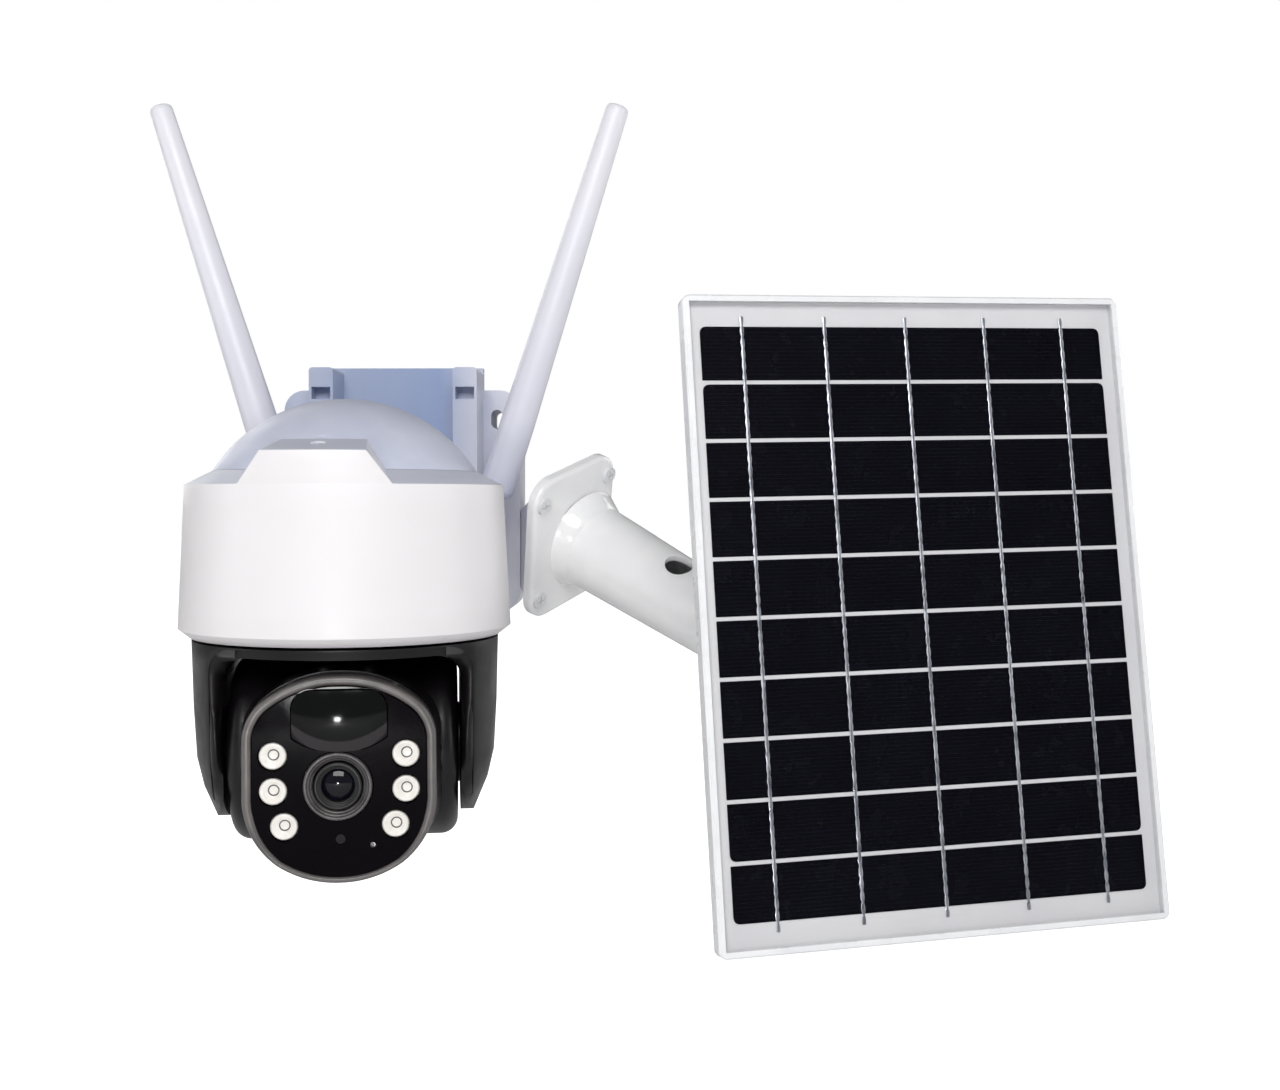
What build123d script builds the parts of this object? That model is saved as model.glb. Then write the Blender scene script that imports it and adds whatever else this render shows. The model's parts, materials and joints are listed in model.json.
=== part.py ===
from build123d import *
import os
from math import atan2, cos, degrees, radians, sin

# Solar powered pan and tilt security camera on a wall bracket.
# Millimetres. The origin is the centre of the bracket's wall face: +X right, +Y into the wall, +Z up.

# ---- driving dimensions -------------------------------------------------------------------------
CLEAR = 0.3                 # running gap between parts that move past each other
FIT = 0.05                  # radial clearance of a shaft in its bore

PAN_AXIS_Y = -142.0         # the pan axis stands this far off the wall
PAN_REST = 8.35             # rest heading of the turret, degrees to the right of straight ahead
TILT_Z = -88.0              # height of the tilt axis

DOME_R = 55.0
DOME_CENTRE_Z = -18.0
DOME_EDGE_Z = 11.0
SKIN = 2.4                  # wall of the moulded shells
SKIRT_R = 46.5
VISOR_R = 59.0
VISOR_TOP_R = 56.4
VISOR_BOTTOM_Z = -44.5
LIP_R = 55.0
LIP_Z = -47.6
SHOULDER_Z = 6.0
CROWN_Z = 17.0
CROWN_TOP_W = 35.0
CROWN_BASE_W = 51.0
CROWN_SCREW_R = 45.2

NECK_HALF_W = 30.0
NECK_TOP_Z = 6.0
NECK_BOTTOM_Z = -39.0
NECK_BACK_Y = -48.3
TONGUE_HALF_W = 25.2
NECK_SCREWS = [(x, z) for x in (-18, 18) for z in (-30, -3)]

PLATE_W, PLATE_H, PLATE_D = 104.0, 97.6, 25.0
COLUMN_IN, COLUMN_OUT = 25.5, 35.8
COLUMN_FRONT_Y = -48.0
CAP_TOP_Z, CAP_H = 57.0, 8.3
SLOT_X, SLOT_Z = 41.8, 36.1
SLOT_W, SLOT_L = 5.0, 8.4

TURRET_TOP_Z = -48.6
CEILING_Z = -52.5
ARM_INNER_X = 40.4
ARM_END_Z = -112.0

HEAD_HALF_W = 39.4
HEAD_R = 33.0
SCREW_SEAT_Y = 28.0
FACE_Z = -3.0               # the face's centre sits this far below the tilt axis
FACE_HALF_W = 31.9
FACE_TOP, FACE_BOTTOM = 34.3, -36.0

ANTENNA_PIVOT = (41.9, -56.8, -5.0)
ANTENNA_LEAN = (17.4, 17.8)         # left, right, degrees from upright
ANTENNA_L = 178.0

ARM_FOOT = Vector(78.8, -38.8, -15.9)
ARM_DIR = Vector(0.765, -0.478, -0.43).normalized()
FOOT_NORMAL = Vector(0.798, -0.507, -0.334).normalized()
FOOT_SIDE = Vector(0.601, 0.736, 0.318)
FOOT_W, FOOT_H = 52.0, 65.0
FOOT_SHIFT = (-7.0, 4.0)    # centre of the foot plate from the tube, along its two sides
HOLE_STEP = (42.0, 45.0)
ARM_TUBE_L = 124.0
ARM_REACH = 142.0           # foot to the vertical bolt of the panel joint
KNUCKLE_STEP = 16.0         # vertical bolt to the tilt bolt

PANEL_CENTRE = (209.34, -143.43, -39.35)
PANEL_YAW, PANEL_TILT, PANEL_ROLL = 13.22, -8.29, -1.22
PANEL_W, PANEL_H, PANEL_D = 170.0, 231.0, 7.0
LIP_FRONT_Y = -3.4          # the frame's front, ahead of the cells
GLASS_T = 2.4
SHEET_BACK_Y = 1.5
CELL_W, CELL_H, CELL_ROWS, CELL_GAP = 156.75, 19.6, 10, 1.465
BUSBAR_PITCH, BUSBARS = 31.35, 5

BODY = Pos(0, PAN_AXIS_Y, 0)
TURRET = BODY * Rot(0, 0, PAN_REST)
HEAD = TURRET * Pos(0, 0, TILT_Z)
FACE = HEAD * Pos(0, 0, FACE_Z)
PANEL = Pos(*PANEL_CENTRE) * Rot(0, 0, PANEL_YAW) * Rot(PANEL_TILT, 0, 0) * Rot(0, PANEL_ROLL, 0)

# ---- helpers ------------------------------------------------------------------------------------
def front_plane(y):
    """A sketch plane that faces the viewer, so an extrusion grows towards -Y."""
    return Plane(origin=(0, y, 0), x_dir=(1, 0, 0), z_dir=(0, -1, 0))


def block(x0, x1, y0, y1, z0, z1):
    return Pos((x0 + x1) / 2, (y0 + y1) / 2, (z0 + z1) / 2) * Box(x1 - x0, y1 - y0, z1 - z0)


def rod(r, length, axis="Z"):
    turn = {"Z": Rot(0, 0, 0), "X": Rot(0, 90, 0), "Y": Rot(90, 0, 0)}[axis]
    return turn * Cylinder(r, length)


def rod_between(r, z0, z1):
    return Pos(0, 0, (z0 + z1) / 2) * Cylinder(r, z1 - z0)


def facing_disc(r, y0, y1):
    """A disc about the Y axis, from y0 back to y1."""
    return Pos(0, (y0 + y1) / 2, 0) * rod(r, abs(y1 - y0), "Y")


def spun(points):
    """A solid of revolution about Z from (radius, height) points."""
    outline = Plane.XZ * Polyline([(r, z) for r, z in points], close=True)
    return revolve(make_face(outline), Axis.Z)


def group(solids):
    return Compound(children=list(solids))


def pan_screw(head_r, shank_r, length):
    """A round-headed screw that points down -Z from the seat at z = 0, with a cross recess."""
    head = Pos(0, 0, 0.7) * Cylinder(head_r, 1.4) - Pos(0, 0, 1.2) * Box(head_r * 1.2, 0.5, 0.8)
    head -= Pos(0, 0, 1.2) * Box(0.5, head_r * 1.2, 0.8)
    return head + Pos(0, 0, -length / 2) * Cylinder(shank_r, length)


# ---- wall bracket -------------------------------------------------------------------------------
def wall_bracket():
    """A deep tray against the wall, with four screw slots and two capped columns on its front."""
    tray = extrude(front_plane(0) * RectangleRounded(PLATE_W, PLATE_H, 9), PLATE_D)
    tray -= extrude(front_plane(0) * RectangleRounded(PLATE_W - 6, PLATE_H - 6, 6.5), PLATE_D - 3)
    ribs = block(-12, 12, -PLATE_D + 1, 0, -1.2, 1.2) + rod(9, 2 * PLATE_D - 4, "Y")
    for x in (-26, 0, 26):
        ribs += block(x - 1.2, x + 1.2, -PLATE_D + 1, 0, -PLATE_H / 2 + 1, PLATE_H / 2 - 1)
    for z in (-17, 17):
        ribs += block(-PLATE_W / 2 + 1, PLATE_W / 2 - 1, -PLATE_D + 1, 0, z - 1.2, z + 1.2)
    tray += ribs & block(-60, 60, -PLATE_D + 0.5, 0, -60, 60)
    back_wall = block(-COLUMN_OUT, COLUMN_OUT, -PLATE_D, -PLATE_D + 5, 40, CAP_TOP_Z + 1.5)
    body = tray + back_wall
    for side in (-1, 1):
        x_mid = side * (COLUMN_IN + COLUMN_OUT) / 2
        column_w = COLUMN_OUT - COLUMN_IN
        column = extrude(front_plane(-PLATE_D + 3) * Pos(x_mid, (CAP_TOP_Z - 46) / 2)
                         * RectangleRounded(column_w, CAP_TOP_Z + 46, 1.6), -COLUMN_FRONT_Y - PLATE_D + 3)
        column -= block(x_mid - 4.0, x_mid + 4.0, COLUMN_FRONT_Y - 1, COLUMN_FRONT_Y + 8,
                        CAP_TOP_Z - CAP_H - 5.2, CAP_TOP_Z - CAP_H)
        body += column
        for level in (-1, 1):
            boss = extrude(front_plane(0) * Pos(side * SLOT_X, level * SLOT_Z)
                           * Rot(0, 0, 90) * SlotOverall(SLOT_L + 5, SLOT_W + 5), PLATE_D - 1)
            body += boss
            body -= extrude(front_plane(1) * Pos(side * SLOT_X, level * SLOT_Z)
                            * Rot(0, 0, 90) * SlotOverall(SLOT_L, SLOT_W), PLATE_D + 2)
    for x, z in NECK_SCREWS:
        body -= Pos(x, -PLATE_D, z) * rod(1.3, 12, "Y")
    return body


def side_adaptor():
    """The hollow wedge on the bracket's right flank that carries the solar arm's foot."""
    seat = foot_plane(-2.3) * Pos(*FOOT_SHIFT) * Rectangle(44, 52)
    flank = Plane(origin=(PLATE_W / 2, -12.6, -21), x_dir=(0, 1, 0), z_dir=(1, 0, 0)) * Rectangle(22, 34)
    wedge = loft([flank, seat])
    core_seat = foot_plane(-7) * Pos(*FOOT_SHIFT) * Rectangle(32, 38)
    core_flank = Plane(origin=(PLATE_W / 2 + 4, -14, -21), x_dir=(0, 1, 0),
                       z_dir=(1, 0, 0)) * Rectangle(14, 26)
    return wedge - loft([core_flank, core_seat])


# ---- fixed camera housing -----------------------------------------------------------------------
def crown_prism(inset, reach):
    half_top = CROWN_TOP_W / 2 - inset
    half_base = CROWN_BASE_W / 2 + 6 - inset
    rise = (CROWN_BASE_W - CROWN_TOP_W) / 2 / (CROWN_Z - SHOULDER_Z)
    z_top, z_base = CROWN_Z + 8, SHOULDER_Z - 6 / rise
    flank = [(half_top - 8 * rise, z_top), (half_base, z_base)]
    outline = flank + [(-x, z) for x, z in reversed(flank)]
    return extrude(front_plane(0) * make_face(Polyline(outline, close=True)), reach)


def visor():
    """The white sun shield: a drooping skirt with a raised crown over the lens."""
    outer = spun([(0, LIP_Z), (LIP_R, LIP_Z), (VISOR_R, VISOR_BOTTOM_Z), (VISOR_TOP_R, SHOULDER_Z),
                  (SKIRT_R, SHOULDER_Z + 5.1), (0, SHOULDER_Z + 5.1)])
    crown = spun([(0, 0), (VISOR_TOP_R, 0), (VISOR_TOP_R - 0.6, CROWN_Z), (38.7, 21.2), (0, 30.7)])
    outer += crown & crown_prism(0, 70)
    hollow = spun([(0, LIP_Z - 1), (LIP_R - 0.5, LIP_Z - 1), (LIP_R - 0.5, LIP_Z + 0.8),
                   (VISOR_R - SKIN, VISOR_BOTTOM_Z), (VISOR_TOP_R - SKIN, SHOULDER_Z - 2),
                   (48.8, SHOULDER_Z + 0.8), (48.8, -38), (0, -38)])
    crown_hollow = spun([(49.2, 0), (VISOR_TOP_R - SKIN, 0), (VISOR_TOP_R - SKIN - 0.6, CROWN_Z - 2.2),
                         (49.2, CROWN_Z - 1)])
    body = outer - hollow - (crown_hollow & crown_prism(SKIN, 70))
    body -= rod_between(SKIRT_R + FIT, LIP_Z - 2, DOME_EDGE_Z + 0.2)
    body -= Pos(0, 0, DOME_CENTRE_Z) * Sphere(DOME_R + FIT)
    body -= block(-NECK_HALF_W - 0.3, NECK_HALF_W + 0.3, 30, 65, NECK_BOTTOM_Z - 0.3, NECK_TOP_Z + 0.3)
    body -= Pos(0, -CROWN_SCREW_R, CROWN_Z + 2.4) * Cylinder(2.7, 3.2)
    body -= Pos(0, -CROWN_SCREW_R, CROWN_Z - 4) * Cylinder(1.35, 12)
    return BODY * body


def dome_shell():
    """The upper housing: a dome on a round skirt, with the cable window into the neck."""
    cut = block(-60, 60, -60, 60, DOME_EDGE_Z, 60)
    outer = (Pos(0, 0, DOME_CENTRE_Z) * Sphere(DOME_R) & cut) + rod_between(SKIRT_R, -43.5, DOME_EDGE_Z)
    inner = (Pos(0, 0, DOME_CENTRE_Z) * Sphere(DOME_R - SKIN) & cut)
    inner += rod_between(SKIRT_R - SKIN, -44, DOME_EDGE_Z)
    body = outer - inner
    body -= block(-14, 14, 38, 50, -32, -10)
    body -= Pos(0, -40.5, 23.4) * Sphere(3.4)
    body -= Pos(0, -CROWN_SCREW_R, CROWN_Z - 4) * Cylinder(1.35, 16)
    return BODY * body


def rear_housing():
    """The neck between the dome and the bracket, which carries the antennas and the controls."""
    y_front = PAN_AXIS_Y + 34
    outer = block(-NECK_HALF_W, NECK_HALF_W, y_front, NECK_BACK_Y, NECK_BOTTOM_Z, NECK_TOP_Z)
    outer = fillet(outer.edges().filter_by(Axis.Y), 4)
    outer += block(-TONGUE_HALF_W, TONGUE_HALF_W, NECK_BACK_Y - 1, -PLATE_D, NECK_BOTTOM_Z, NECK_TOP_Z)
    hollow = block(-NECK_HALF_W + 2.5, NECK_HALF_W - 2.5, y_front - 5, NECK_BACK_Y - 2.7,
                   NECK_BOTTOM_Z + 3, NECK_TOP_Z - 2.5)
    hollow += block(-TONGUE_HALF_W + 2.5, TONGUE_HALF_W - 2.5, NECK_BACK_Y - 4, -PLATE_D - 3,
                    NECK_BOTTOM_Z + 3, NECK_TOP_Z - 2.5)
    body = outer - hollow - BODY * rod_between(SKIRT_R + FIT, -60, 20)
    x, y, z = ANTENNA_PIVOT
    body -= Pos(0, y, z) * rod(5.0, 80, "X")
    for bx, hole_r in ((-14, 5.6), (2, 4.0 + CLEAR), (15, 4.0 + CLEAR)):
        body -= Pos(bx, -72, NECK_BOTTOM_Z) * Cylinder(hole_r, 9)
    for x, z in NECK_SCREWS:
        body -= Pos(x, -PLATE_D - 1.5, z) * rod(1.35, 5, "Y")
    return body


def base_plate():
    """The floor of the housing, with the pan bearing's seat in its middle."""
    body = rod_between(54.0, -46.9, -43.5) - rod_between(22.0, -50, -40)
    for a in (90, 210, 330):
        x, y = 40 * cos(radians(a)), 40 * sin(radians(a))
        body += Pos(x, y, -40.5) * Cylinder(3.6, 6.2)
        body -= Pos(x, y, -42) * Cylinder(1.35, 14)
        body -= Pos(x, y, -46.6) * Cylinder(3.2, 3.2)
    return BODY * body


def housing_screws():
    """The crown screw, three floor screws and four screws from the neck into the bracket."""
    screw = pan_screw(2.4, 1.3, 6)
    seat = Plane(origin=(0, -PLATE_D - 3, 0), x_dir=(1, 0, 0), z_dir=(0, -1, 0))
    crown = [BODY * Pos(0, -CROWN_SCREW_R, CROWN_Z + 0.8) * screw]
    floor = [BODY * Pos(40 * cos(radians(a)), 40 * sin(radians(a)), -45.0) * Rot(180, 0, 0) * screw
             for a in (90, 210, 330)]
    neck = [seat * Pos(x, z) * screw for x, z in NECK_SCREWS]
    return group(crown + floor + neck)


def pan_bearing():
    return BODY * (rod_between(22.0, -46.9, -42.6) - rod_between(18.0, -50, -40))


def pan_motor():
    """A small geared stepper on the floor, with its shaft towards the pan gear."""
    can = rod_between(12.0, -33, -16)
    ears = Pos(0, 0, -32.4) * Box(35, 7, 1.2)
    shaft = rod_between(2.0, -41.5, -33)
    return BODY * Pos(0, 29.2, 0) * (can + ears + shaft)


def pan_pinion():
    return BODY * Pos(0, 29.2, 0) * (gear(5.6, 12, 3.0) - rod_between(2.0 + FIT, -10, 10)).moved(
        Location((0, 0, -39.9)))


def gear(r, teeth, width):
    """A spur gear about Z with plain tapered teeth, centred on z = 0."""
    root = r * (0.72 if teeth < 16 else 0.91)
    step = 360 / teeth
    corners = []
    for k in range(teeth):
        for radius, share in ((root, 0.02), (r, 0.24), (r, 0.52), (root, 0.74)):
            a = radians((k + share) * step)
            corners.append((radius * cos(a), radius * sin(a)))
    return extrude(make_face(Polyline(corners, close=True)), width / 2, both=True)


def main_board():
    board = Pos(0, 2, -12.0) * Box(66, 46, 1.6)
    for x, y, w, d, h in ((-22, 10, 12, 12, 1.4), (4, 12, 9, 9, 1.2), (24, -8, 10, 14, 1.0),
                          (-24, -12, 8, 12, 2.6), (4, -9, 24, 22, 2.8)):
        board += Pos(x, y, -11.2 + h / 2) * Box(w, d, h)
    return BODY * board


def battery_cells():
    return BODY * group(Pos(0, y, 2.9) * rod(9.0, 65, "X") for y in (-18.6, 0, 18.6))


def battery_holder():
    cradle = Pos(0, 0, -5.0) * Box(62, 54, 3.0)
    for side in (-1, 1):
        cradle += Pos(side * 34.2, 0, -1.0) * Box(1.6, 46, 11) + Pos(side * 32.6, 0, -5.0) * Box(4, 46, 3)
    for y in (-18.6, 0, 18.6):
        cradle -= Pos(0, y, 2.9) * rod(9.1, 65.2, "X")
    return BODY * cradle


def charge_inlet():
    body = Pos(-14, -72, NECK_BOTTOM_Z + 0.5) * (Cylinder(5.5, 8) + Pos(0, 0, -4.25) * Cylinder(7, 1.5))
    body -= Pos(-14, -72, NECK_BOTTOM_Z - 1.5) * Cylinder(3.6, 9)
    return body


def inlet_plug():
    """The rubber plug that closes the charging inlet."""
    x, y, z = -14, -72, NECK_BOTTOM_Z
    plug = Pos(x, y, z - 2.0) * Cylinder(3.55, 5) + Pos(x, y, z - 5.25) * Cylinder(6.2, 1.5)
    return plug + Pos(x, y - 6.5, z - 5.25) * Box(4, 4, 1.4)


def button(x):
    """A sealed push button in the neck's underside, kept in by its flange."""
    stem = Pos(x, -72, NECK_BOTTOM_Z + 0.4) * Cylinder(4.0, 4.8)
    flange = Pos(x, -72, NECK_BOTTOM_Z + 3.9) * Cylinder(5.6, 1.2)
    return stem + flange + Pos(x, -72, NECK_BOTTOM_Z + 3.1) * Cylinder(4.0, 1.0)


# ---- antennas -----------------------------------------------------------------------------------
def antenna_base(side):
    """The swivel that turns in the neck's flank and forks round the antenna's knuckle."""
    x, y, z = ANTENNA_PIVOT
    wall_x = NECK_HALF_W
    body = Pos(wall_x + 0.4 + 2.1, y, z) * rod(7.6, 4.2, "X")
    body += Pos(wall_x - 1, y, z) * rod(5.0 - FIT, 5.4, "X")
    body += Pos(wall_x - 2.5 - 0.4 - 0.8, y, z) * rod(5.5, 1.6, "X")
    fork = block(wall_x + 4.4, x, y - 6.4, y + 6.4, z - 6.4, z + 6.4)
    fork += Pos(x, y, z) * rod(6.4, 12.8, "Y")
    body += fork & Pos(x, y, z) * rod(7.6, 40, "X")
    body -= block(wall_x + 5.0, x + 10, y - 3.5, y + 3.5, z - 12, z + 12)
    body += Pos(x, y, z) * rod(2.0, 12.8, "Y")
    return body if side > 0 else mirror(body, Plane.YZ)


def antenna(side):
    """A whip with a flattened knuckle, tapering to a rounded tip."""
    lean = ANTENNA_LEAN[1] if side > 0 else ANTENNA_LEAN[0]
    knuckle = rod(6.2, 6.4, "Y") + Pos(0, 0, 6) * Box(9, 6.4, 9)
    whip = spun([(0, 8.5), (6.2, 8.5), (7.3, 10.5), (7.2, 40), (4.75, ANTENNA_L - 2.2),
                 (4.4, ANTENNA_L - 0.9), (3.5, ANTENNA_L - 0.2), (0, ANTENNA_L)])
    body = knuckle + whip - rod(2.0 + FIT, 20, "Y")
    x, y, z = ANTENNA_PIVOT
    return Pos(side * x, y, z) * Rot(0, side * lean, 0) * body


# ---- turret -------------------------------------------------------------------------------------
def slot_sketch(grow):
    """The yoke's opening seen from the front, with its two rounded upper corners."""
    half, top, low, r = ARM_INNER_X + grow, CEILING_Z + grow * 0.8, -130, 9
    edge = (Line((half, low), (half, top - r)) + RadiusArc((half, top - r), (half - r, top), -r)
            + Line((half - r, top), (-half + r, top))
            + RadiusArc((-half + r, top), (-half, top - r), -r)
            + Line((-half, top - r), (-half, low)) + Line((-half, low), (half, low)))
    return make_face(edge)


def yoke_shell():
    """The black turret: a disc under the housing with two arms that hold the head."""
    outer = spun([(0, TURRET_TOP_Z), (54.4, TURRET_TOP_Z), (53.8, -72), (52.8, -90), (50.5, -100),
                  (45.5, ARM_END_Z), (0, ARM_END_Z)])
    tongue = extrude(Plane.YZ * Pos(0, TILT_Z) * Ellipse(34, TILT_Z - ARM_END_Z), 60, both=True)
    tongue += block(-60, 60, -60, 60, TILT_Z, -40)
    body = outer & tongue
    body -= extrude(front_plane(44) * slot_sketch(0), 110)
    body -= extrude(front_plane(60) * slot_sketch(0), 30) & block(-60, 60, 30, 60, -140, -82)
    front_rebate = extrude(front_plane(0) * slot_sketch(4.2), 60) - spun([(0, -40), (49, -40), (49, -130),
                                                                       (0, -130)])
    body -= front_rebate
    body -= rod_between(8, -60, -40)
    for a in range(45, 360, 90):
        x, y = 13 * cos(radians(a)), 13 * sin(radians(a))
        body -= Pos(x, y, -50) * Cylinder(1.35, 10)
    body -= Pos(0, 0, TILT_Z) * rod(4.0 + FIT, 96, "X") & block(-60, 0, -20, 20, -120, -60)
    body -= Pos(0, 0, TILT_Z) * rod(5.0, 96, "X") & block(0, 60, -20, 20, -120, -60)
    return TURRET * body


def pan_hub():
    """The hollow spindle that hangs the turret from the bearing, moulded with the pan gear."""
    body = rod_between(18.0 - FIT, TURRET_TOP_Z, -41.6) + Pos(0, 0, -40.1) * gear(23.2, 50, 3.0)
    body -= rod_between(8, -60, -30)
    for a in range(45, 360, 90):
        body -= Pos(13 * cos(radians(a)), 13 * sin(radians(a)), -47) * Cylinder(1.3, 8)
    return TURRET * body


def hub_screws():
    flip = Rot(180, 0, 0)
    return TURRET * group(Pos(13 * cos(radians(a)), 13 * sin(radians(a)), CEILING_Z) * flip
                          * pan_screw(2.5, 1.3, 7.5) for a in range(45, 360, 90))


def tilt_gear():
    """The fixed spindle on the right arm, with the gear that the head's pinion climbs round."""
    spindle = Pos((33 + 47.6) / 2, 0, 0) * rod(5.0, 47.6 - 33, "X")
    wheel = Pos(33.4, 0, 0) * Rot(0, 90, 0) * gear(12.0, 34, 3.2)
    return HEAD * (spindle + wheel - rod(2.2, 120, "X"))


# ---- head ---------------------------------------------------------------------------------------
def face_outline(grow=0.0, sx=1.0, sz=1.0):
    """The face seen from the front: a broad arched top, straight sides and a round chin."""
    h, top, low = FACE_HALF_W, FACE_TOP, FACE_BOTTOM
    half = (ThreePointArc((0, top), (15.5, 31.5), (24.6, 26.2))
            + ThreePointArc((24.6, 26.2), (30.0, 19.6), (h, 11.5)) + Line((h, 11.5), (h, -5))
            + ThreePointArc((h, -5), (29.2, -19.2), (20.6, -29.8))
            + ThreePointArc((20.6, -29.8), (10.7, -34.5), (0, low)))
    sketch = make_face(half + mirror(half, Plane.YZ))
    if grow:
        sketch = offset(sketch, grow)
    return scale(sketch, by=(sx, sz, 1)) if sx != 1.0 else sketch


def snout(extra, y_back, y_front):
    """The nose of the head, flaring backwards from the face to the full width."""
    wide = face_outline(extra, 1.19, 0.975)
    return loft([front_plane(y_back) * wide, front_plane(y_front) * face_outline(extra)])


def head_shell():
    """The rear shell of the head: a barrel about the tilt axis that runs out into the nose."""
    barrel = rod(HEAD_R, 2 * HEAD_HALF_W, "X")
    barrel = fillet(barrel.edges().filter_by(GeomType.CIRCLE), 6)
    nose = Pos(0, 0, FACE_Z) * snout(0, -10, -40)
    hollow = rod(HEAD_R - SKIN, 2 * (HEAD_HALF_W - SKIN), "X")
    hollow += Pos(0, 0, FACE_Z) * extrude(front_plane(-5) * face_outline(-4.6), 45)
    body = barrel + nose - hollow
    body -= Pos(-38, 0, 0) * rod(4.0, 12, "X")
    body -= Pos(38, 0, 0) * rod(5.0 + FIT, 12, "X")
    for x in (-24, 24):
        for z in (-14, 14):
            body -= Pos(x, 0, z) * facing_disc(1.35, 15, 45)
            body -= Pos(x, 0, z) * facing_disc(2.6, SCREW_SEAT_Y, 45)
    for x in (-8, -4, 0, 4, 8):
        body -= Pos(x, 30, -6) * rod(0.9, 14, "Y")
    return HEAD * body


def head_screws():
    back = Plane(origin=(0, SCREW_SEAT_Y, 0), x_dir=(1, 0, 0), z_dir=(0, 1, 0))
    return HEAD * group(back * Pos(x, z) * pan_screw(2.4, 1.3, 6) for x in (-24, 24) for z in (-14, 14))


def face_bezel():
    """The rim round the window, with the ledge that the window sits on."""
    body = extrude(front_plane(-40) * face_outline(), 8)
    body = chamfer(body.faces().sort_by(Axis.Y)[0].edges(), 0.7)
    body -= extrude(front_plane(-39) * face_outline(-4.6), 12)
    body -= extrude(front_plane(-45.4) * face_outline(-3.1), 4)
    return FACE * body


LENS_AT = (-0.6, -3.4)
LED_AT = [(s * x, z) for s in (-1, 1) for x, z in ((21.8, 6.9), (21.8, -4.9), (18.3, -16.7))]
PIR_Z = 18.3
SENSOR_AT = (0.2, -21.2)
MIC_AT = (10.8, -23.4)


def pir_outline(grow):
    """The motion sensor's lens: a flat top over a shallow bowl."""
    half, top, low, dip, shoulder = 15.6 + grow, 10.4 + grow, -5.5, -10.4 - grow, 3.5
    flat = 10.0
    return make_face(Line((half, low), (half, shoulder))
                     + ThreePointArc((half, shoulder), (half - 1.5, top - 2.2), (flat, top))
                     + Line((flat, top), (-flat, top))
                     + ThreePointArc((-flat, top), (-half + 1.5, top - 2.2), (-half, shoulder))
                     + Line((-half, shoulder), (-half, low))
                     + ThreePointArc((-half, low), (0, dip), (half, low)))


def front_window():
    body = extrude(front_plane(-45.4) * face_outline(-3.3), 2.2)
    body -= extrude(front_plane(-44) * Pos(0, PIR_Z) * pir_outline(0.2), 6)
    body -= Pos(LENS_AT[0], 0, LENS_AT[1]) * facing_disc(11.6, -44, -50)
    for x, z in LED_AT:
        body -= Pos(x, 0, z) * facing_disc(4.9, -44, -50)
    body -= Pos(SENSOR_AT[0], 0, SENSOR_AT[1]) * facing_disc(1.7, -44, -50)
    body -= Pos(MIC_AT[0], 0, MIC_AT[1]) * facing_disc(0.9, -44, -50)
    return FACE * body


def pir_lens():
    plug = extrude(front_plane(-45.4) * Pos(0, PIR_Z) * pir_outline(0), 9)
    plug -= Pos(LENS_AT[0], 0, LENS_AT[1]) * facing_disc(11.6, -60, -40)
    dome = Pos(0, -51.2 + 46, PIR_Z) * Sphere(46)
    bowl = Pos(0, -51.2 + 46, PIR_Z) * Sphere(44.6)
    inner = extrude(front_plane(-43) * Pos(0, PIR_Z) * pir_outline(-1.4), 9) & bowl
    return FACE * ((plug & dome) - inner)


def pir_sensor():
    return FACE * Pos(0, 0, PIR_Z) * (facing_disc(4.6, -41.2, -37.0) + facing_disc(5.2, -37.0, -36.2))


def lens_ring():
    body = facing_disc(11.4, -49.0, -43) - facing_disc(8.3, -51, -40)
    cone = Plane.XY * Pos(0, -49.0, 0) * Rot(90, 0, 0) * Cone(8.3, 10.4, 2.4)
    return FACE * Pos(LENS_AT[0], 0, LENS_AT[1]) * (body - cone)


def lens_barrel():
    body = facing_disc(7.9, -48.2, -22) - facing_disc(5.5, -50, -42.6) - facing_disc(4.2, -50, -21)
    return FACE * Pos(LENS_AT[0], 0, LENS_AT[1]) * body


def lens_glass():
    front = Pos(0, -46.4 + 11, 0) * Sphere(11) & facing_disc(5.4, -47, -42.6)
    return FACE * Pos(LENS_AT[0], 0, LENS_AT[1]) * front


def sensor_board():
    board = Pos(0, -14.2, 0) * Box(34, 1.6, 34)
    board += Pos(LENS_AT[0], -18.4, LENS_AT[1]) * Box(15, 7, 15)
    return FACE * (board + Pos(-10, -12.6, -12) * Box(9, 2, 4))


def led_board():
    """The lamp board, with the six emitters that stand up inside the cups."""
    board = extrude(front_plane(-38.2) * face_outline(-5.4), 1.6)
    board -= Pos(LENS_AT[0], 0, LENS_AT[1]) * facing_disc(8.6, -50, -20)
    board -= Pos(0, 0, PIR_Z) * facing_disc(5.6, -50, -20)
    for x, z in LED_AT:
        board += Pos(x, 0, z) * (facing_disc(1.9, -43.6, -39.0) + Pos(0, -43.6, 0) * Sphere(1.9))
    return FACE * board


def led_cups():
    cup = facing_disc(4.7, -47.2, -39.8)
    cup -= Pos(0, -47.2 + 2.0, 0) * Rot(90, 0, 0) * Cone(2.1, 4.1, 4.01)
    cup -= facing_disc(2.0, -48, -39)
    return FACE * group(Pos(x, 0, z) * cup for x, z in LED_AT)


def light_sensor():
    return FACE * Pos(SENSOR_AT[0], 0, SENSOR_AT[1]) * facing_disc(1.6, -47.3, -39.8)


def microphone():
    return FACE * Pos(MIC_AT[0], 0, MIC_AT[1]) * (facing_disc(2.6, -45.2, -40.4)
                                                 - facing_disc(0.6, -46, -43))


def speaker():
    return HEAD * Pos(-4, 0, -4) * (facing_disc(12, 18, 22) + facing_disc(7, 14.5, 18))


def tilt_axle():
    return HEAD * (Pos(-42.0, 0, 0) * rod(4.0, 10.6, "X") + Pos(-36.2, 0, 0) * rod(6.5, 1.4, "X"))


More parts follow.
